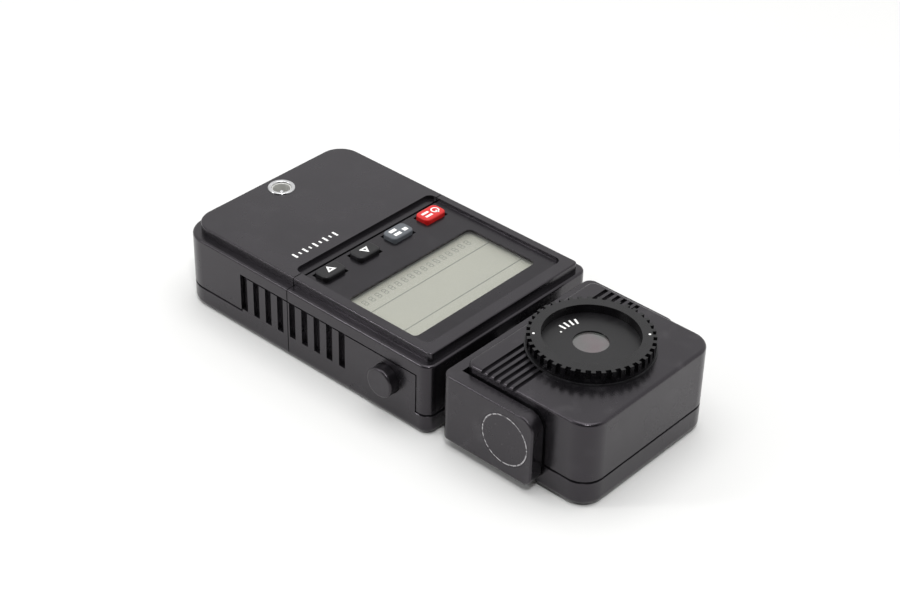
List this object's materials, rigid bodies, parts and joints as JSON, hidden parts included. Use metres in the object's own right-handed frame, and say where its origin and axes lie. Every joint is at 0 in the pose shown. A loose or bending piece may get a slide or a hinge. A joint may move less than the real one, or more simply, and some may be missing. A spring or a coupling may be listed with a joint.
{
  "type": "handheld light meter",
  "caption": "Handheld light meter with a display, keys, a side measuring button and a swivelling light-sensing head with a turnable knurled receptor ring.",
  "frame": {"origin": "mouth of the tripod socket, in the middle of the meter body's rear face", "axes": "+Z out of the display, +Y from the battery end towards the head, +X towards the measuring button"},
  "size_m": [0.065, 0.1382, 0.029],
  "materials": {
    "shell_plastic": "fine moulded texture",
    "bracket_plastic": "fine moulded texture, worn on edges",
    "key_black": "satin",
    "key_grey": "satin",
    "key_red": "satin",
    "button_plastic": "satin",
    "window_plastic": "clear",
    "display": "satin",
    "board": "satin",
    "inner_plastic": "satin",
    "mat_rubber": "matt",
    "brass": "machined",
    "steel": "zinc plated",
    "black_metal": "satin black",
    "cell_skin": "printed sleeve",
    "ring_metal": "black anodised",
    "dark_glass": "coated",
    "filter": "polished",
    "lead_skin": "matt"
  },
  "bodies": {
    "meter_body": {"front_cover": "shell_plastic", "lower_front_cover": "shell_plastic", "rear_cover": "shell_plastic", "display_window": "window_plastic", "lcd_panel": "display", "lcd_frame": "inner_plastic", "main_board": "board", "key_mat": "mat_rubber", "sync_terminal_ring": "steel", "sync_terminal_insulator": "inner_plastic", "sync_terminal_pin": "brass", "battery_cell": "cell_skin", "battery_spring": "steel", "battery_spring_plate": "steel", "battery_contact": "steel", "case_screws": "steel", "tripod_bush": "brass", "neck_collar": "black_metal", "button_spring": "steel", "button_switch": "black_metal"},
    "head": {"head_bracket": "bracket_plastic", "neck_shaft": "steel", "shaft_clip": "steel", "friction_washer": "steel", "head_front_shell": "shell_plastic", "head_rear_shell": "shell_plastic", "arm_screws": "steel", "arm_caps": "black_metal", "head_screws": "steel", "sensor_board": "board", "cell_holder": "inner_plastic", "photocell": "dark_glass", "filter_glass": "filter", "head_lead": "lead_skin", "bayonet_seat": "black_metal"},
    "receptor": {"receptor_ring": "ring_metal", "receptor_disc": "ring_metal", "receptor_lens": "dark_glass", "lens_retainer": "black_metal"},
    "up_key": {"up_key": "key_black"},
    "down_key": {"down_key": "key_black"},
    "mode_key": {"mode_key": "key_grey"},
    "power_key": {"power_key": "key_red"},
    "measuring_button": {"measuring_button": "button_plastic"},
    "battery_door": {"battery_door": "shell_plastic"}
  },
  "joints": [
    {"name": "head_swivel", "type": "hinge", "parent": "meter_body", "child": "head", "pos_m": [0, 0.0456, 0.0128], "axis": [0, 1, 0], "range_deg": [-90, 180]},
    {"name": "receptor_turn", "type": "hinge", "parent": "head", "child": "receptor", "pos_m": [0, 0.0712, 0.026], "axis": [0, 0, 1], "range_deg": [0, 60]},
    {"name": "power_key_press", "type": "slide", "parent": "meter_body", "child": "power_key", "axis": [0, 0, -1], "range_m": [0, 0.0006], "stiffness_N_per_m": 1500},
    {"name": "mode_key_press", "type": "slide", "parent": "meter_body", "child": "mode_key", "axis": [0, 0, -1], "range_m": [0, 0.0006], "stiffness_N_per_m": 1500},
    {"name": "up_key_press", "type": "slide", "parent": "meter_body", "child": "up_key", "axis": [0, 0, -1], "range_m": [0, 0.0006], "stiffness_N_per_m": 1500},
    {"name": "down_key_press", "type": "slide", "parent": "meter_body", "child": "down_key", "axis": [0, 0, -1], "range_m": [0, 0.0006], "stiffness_N_per_m": 1500},
    {"name": "measuring_button_press", "type": "slide", "parent": "meter_body", "child": "measuring_button", "axis": [-1, 0, 0], "range_m": [0, 0.0012], "stiffness_N_per_m": 1200, "deforming": ["button_spring"]},
    {"name": "battery_door_slide", "type": "slide", "parent": "meter_body", "child": "battery_door", "axis": [-1, 0, 0], "range_m": [0, 0.05]}
  ]
}
